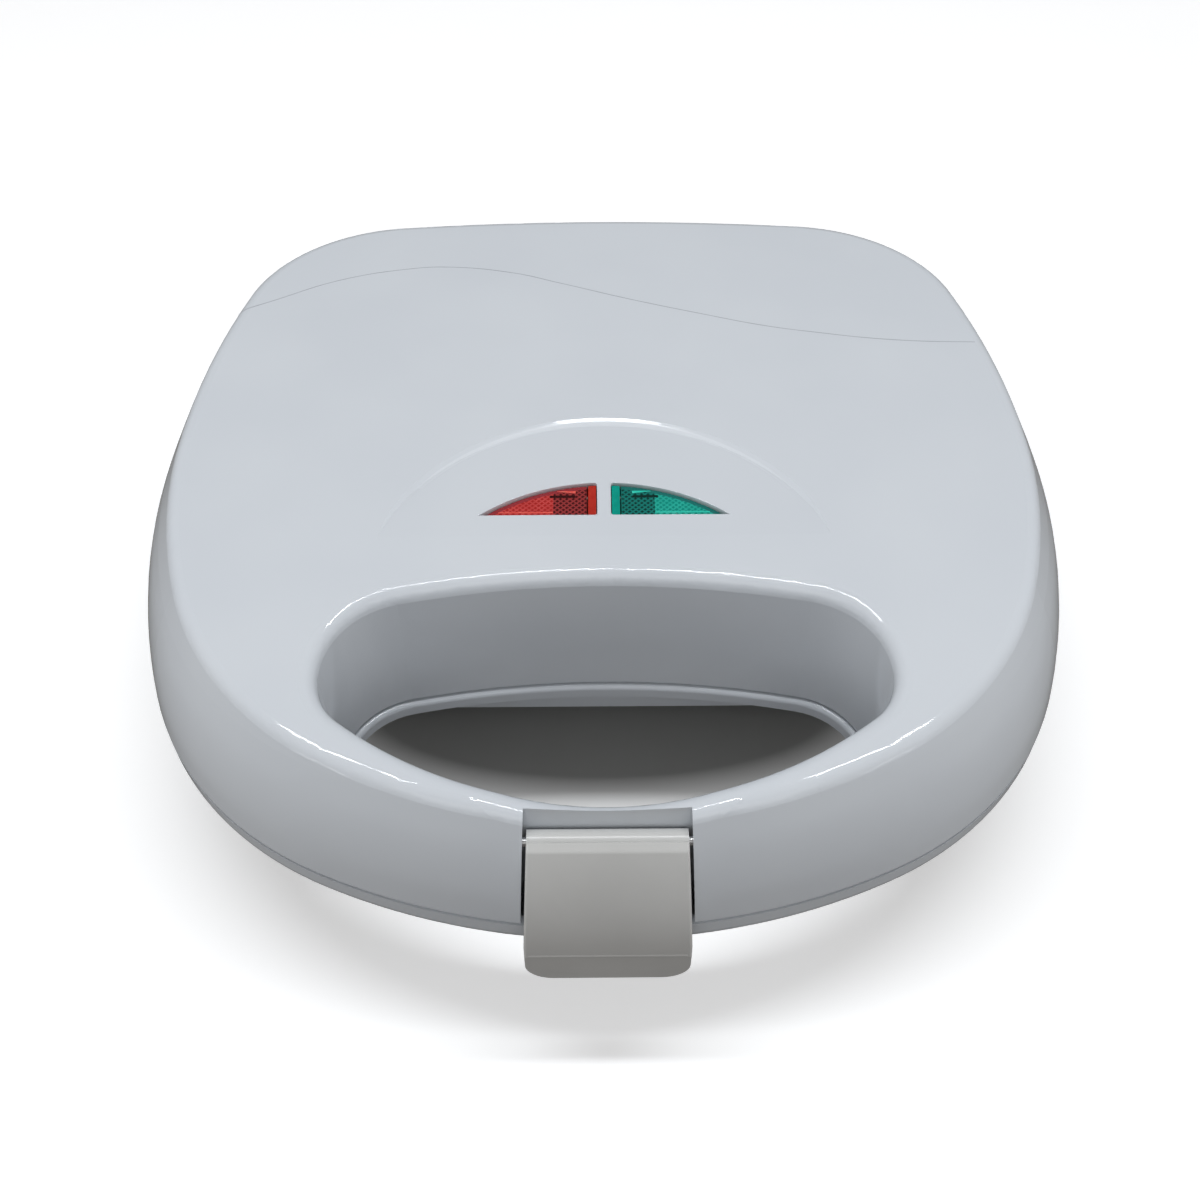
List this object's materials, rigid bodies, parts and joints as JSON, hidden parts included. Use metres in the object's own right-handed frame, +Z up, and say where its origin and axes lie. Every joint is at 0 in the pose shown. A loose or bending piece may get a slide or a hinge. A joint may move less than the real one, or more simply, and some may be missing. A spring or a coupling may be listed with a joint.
{
  "type": "sandwich maker",
  "caption": "Countertop sandwich maker: white moulded lid and base on a rear hinge, grip opening behind the front bar, grey flip latch, indicator lenses and pocketed cooking plates",
  "frame": {"origin": "on the floor under the middle of the overall box", "axes": "+Z up, front with the latch towards -Y, hinge towards +Y, +X to the right seen from the front"},
  "size_m": [0.23, 0.239, 0.077],
  "materials": {
    "shell": "smooth satin-gloss white moulded plastic",
    "latch": "satin warm grey moulded plastic",
    "frame": "dark heat-resistant moulded plastic",
    "plate": "cast aluminium with a dark non-stick coating",
    "element": "oxidised steel sheath",
    "sheet": "plated sheet steel",
    "red_lens": "clear red moulded plastic",
    "green_lens": "clear green moulded plastic",
    "inner_plastic": "plain natural moulded plastic",
    "lamp": "clear glass",
    "gland": "white moulded plastic",
    "steel": "drawn steel",
    "screw": "zinc-plated steel",
    "foot": "matte moulded rubber",
    "ceramic_part": "glazed ceramic body",
    "fuse": "bare metal case"
  },
  "bodies": {
    "base": {"lower_housing": "shell", "lower_inner_frame": "frame", "lower_cooking_plate": "plate", "lower_heating_element": "element", "lower_heat_shield": "sheet", "lower_element_clamps": "sheet", "lower_shield_screws": "screw", "thermostat": "ceramic_part", "lower_thermal_fuse": "fuse", "terminal_block": "inner_plastic", "cord_gland": "gland", "hinge_pin_left": "steel", "hinge_pin_right": "steel", "lower_frame_screws": "screw", "foot_front_left": "foot", "foot_front_right": "foot", "foot_rear_left": "foot", "foot_rear_right": "foot"},
    "lid": {"upper_housing": "shell", "latch_pin": "steel", "upper_inner_frame": "frame", "upper_cooking_plate": "plate", "upper_heating_element": "element", "upper_heat_shield": "sheet", "red_lens": "red_lens", "green_lens": "green_lens", "upper_element_clamps": "sheet", "upper_shield_screws": "screw", "upper_thermal_fuse": "fuse", "lamp_carrier": "inner_plastic", "neon_lamps": "lamp", "upper_frame_screws": "screw"},
    "latch": {"latch": "latch"}
  },
  "joints": [
    {"name": "lid_hinge", "type": "hinge", "parent": "base", "child": "lid", "pos_m": [0, 0.11498, 0.041], "axis": [-1, 0, 0], "range_deg": [0, 100]},
    {"name": "latch_pivot", "type": "hinge", "parent": "lid", "child": "latch", "pos_m": [0, -0.10648, 0.0613], "axis": [-1, 0, 0], "range_deg": [0, 75]}
  ]
}
